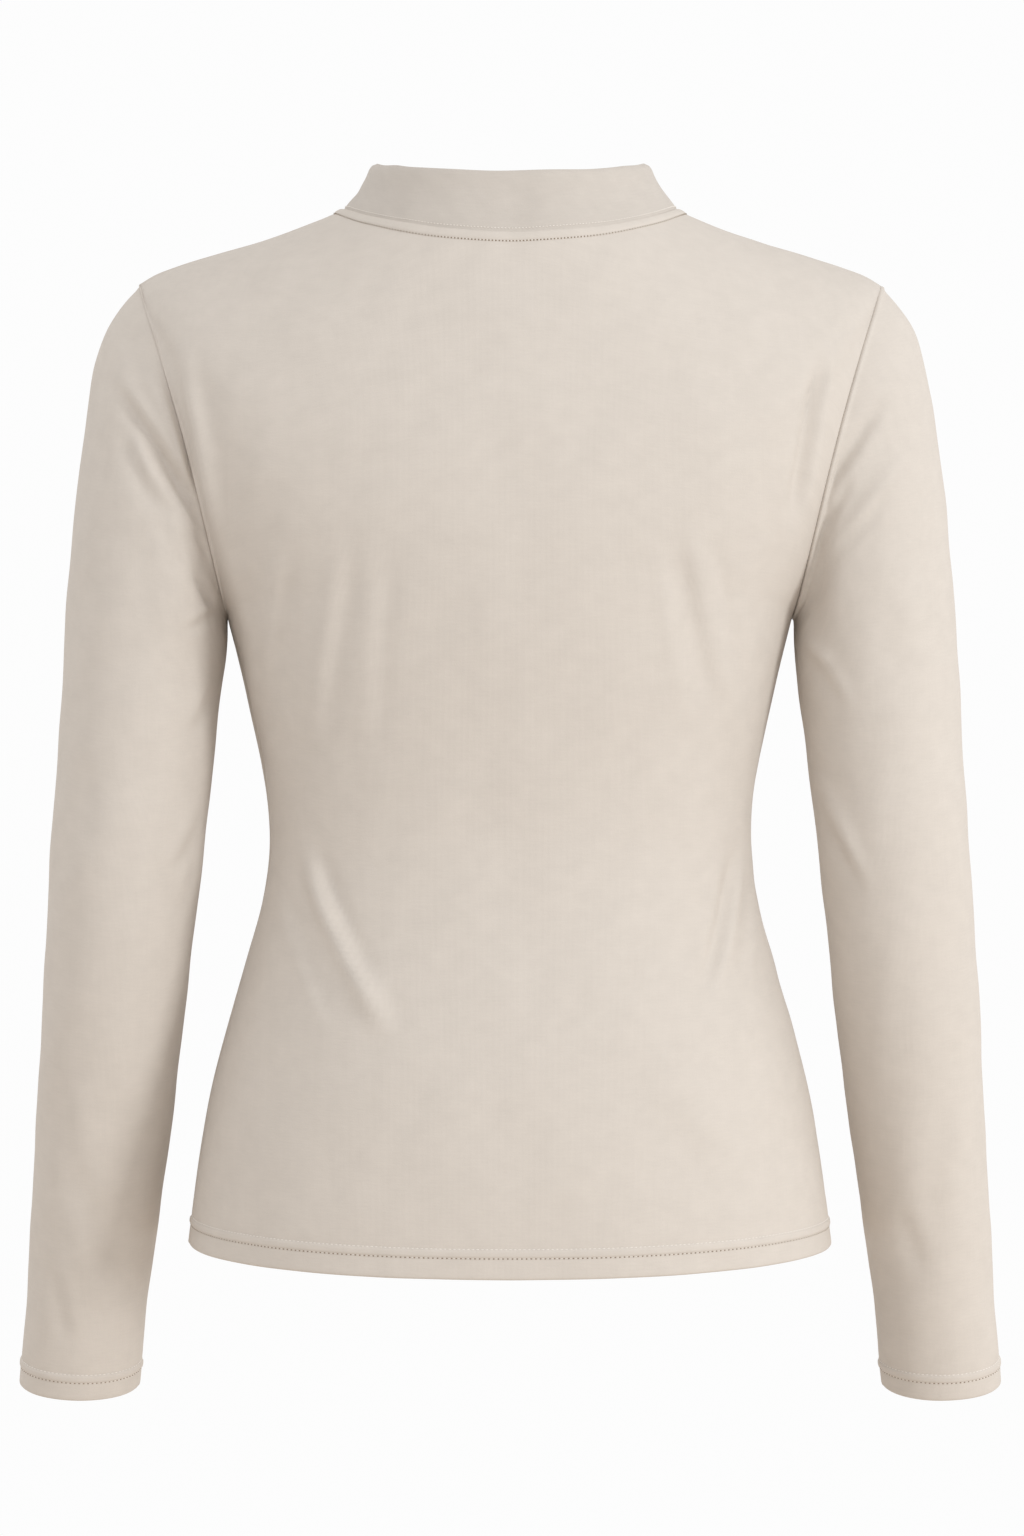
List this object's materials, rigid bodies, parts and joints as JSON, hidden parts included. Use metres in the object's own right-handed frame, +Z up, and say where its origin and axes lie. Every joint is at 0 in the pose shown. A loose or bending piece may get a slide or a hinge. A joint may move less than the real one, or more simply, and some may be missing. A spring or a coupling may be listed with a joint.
{
  "type": "long-sleeved mock-neck top",
  "caption": "Fitted women's long-sleeved jersey top with a folded mock neck, hollow as worn, with open neck, hem and cuffs and twin-needle ridges.",
  "frame": {"origin": "middle of the neck opening, level with the neck points of the shoulder seams, where the wearer's neck and shoulders hold the garment", "axes": "+Z up, +Y towards the wearer's front, +X towards the wearer's right-hand side"},
  "size_m": [0.538, 0.2325, 0.6697],
  "materials": {
    "jersey": "matte cream brushed jersey"
  },
  "bodies": {
    "root": {"back": "jersey", "front": "jersey", "sleeve_left": "jersey", "sleeve_right": "jersey", "collar": "jersey"}
  },
  "joints": []
}
